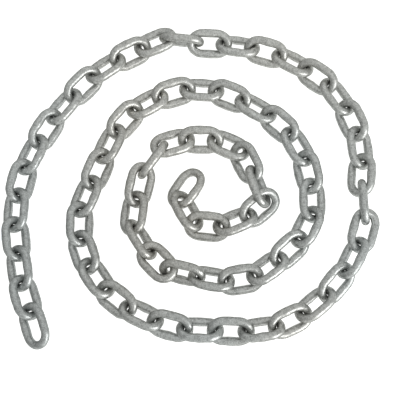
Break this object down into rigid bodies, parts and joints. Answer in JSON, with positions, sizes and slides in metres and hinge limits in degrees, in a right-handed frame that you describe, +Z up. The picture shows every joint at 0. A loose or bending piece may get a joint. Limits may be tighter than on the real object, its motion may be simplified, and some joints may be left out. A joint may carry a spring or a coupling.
{
  "type": "galvanised steel chain",
  "caption": "Length of round-steel medium-link chain with a dull galvanised finish, laid flat on the floor in an open spiral, both ends loose.",
  "frame": {"origin": "centre of the spiral's bounding box, on the floor", "axes": "+Z up from the floor; +X to the right across the spiral as it is seen in the picture, its longest extent; +Y away from the camera"},
  "size_m": [0.3606, 0.3222, 0.0289],
  "materials": {
    "galvanised_steel": "hot-dip galvanised: dull mid grey, slightly rough, mottled"
  },
  "bodies": {
    "root": {"link_01": "galvanised_steel", "link_02": "galvanised_steel", "link_03": "galvanised_steel", "link_04": "galvanised_steel", "link_05": "galvanised_steel", "link_06": "galvanised_steel", "link_07": "galvanised_steel", "link_08": "galvanised_steel", "link_09": "galvanised_steel", "link_10": "galvanised_steel", "link_11": "galvanised_steel", "link_12": "galvanised_steel", "link_13": "galvanised_steel", "link_14": "galvanised_steel", "link_15": "galvanised_steel", "link_16": "galvanised_steel", "link_17": "galvanised_steel", "link_18": "galvanised_steel", "link_19": "galvanised_steel", "link_20": "galvanised_steel", "link_21": "galvanised_steel", "link_22": "galvanised_steel", "link_23": "galvanised_steel", "link_24": "galvanised_steel", "link_25": "galvanised_steel", "link_26": "galvanised_steel", "link_27": "galvanised_steel", "link_28": "galvanised_steel", "link_29": "galvanised_steel", "link_30": "galvanised_steel", "link_31": "galvanised_steel", "link_32": "galvanised_steel", "link_33": "galvanised_steel", "link_34": "galvanised_steel", "link_35": "galvanised_steel", "link_36": "galvanised_steel", "link_37": "galvanised_steel", "link_38": "galvanised_steel", "link_39": "galvanised_steel", "link_40": "galvanised_steel", "link_41": "galvanised_steel", "link_42": "galvanised_steel", "link_43": "galvanised_steel", "link_44": "galvanised_steel", "link_45": "galvanised_steel", "link_46": "galvanised_steel", "link_47": "galvanised_steel", "link_48": "galvanised_steel", "links_49_50": "galvanised_steel", "links_51_52": "galvanised_steel", "links_53_54": "galvanised_steel", "links_55_56": "galvanised_steel", "links_57_58": "galvanised_steel", "links_59_60": "galvanised_steel", "links_61_62": "galvanised_steel", "links_63_64": "galvanised_steel", "links_65_66": "galvanised_steel", "links_67_68": "galvanised_steel", "links_69_70": "galvanised_steel", "links_71_72": "galvanised_steel"}
  },
  "joints": []
}
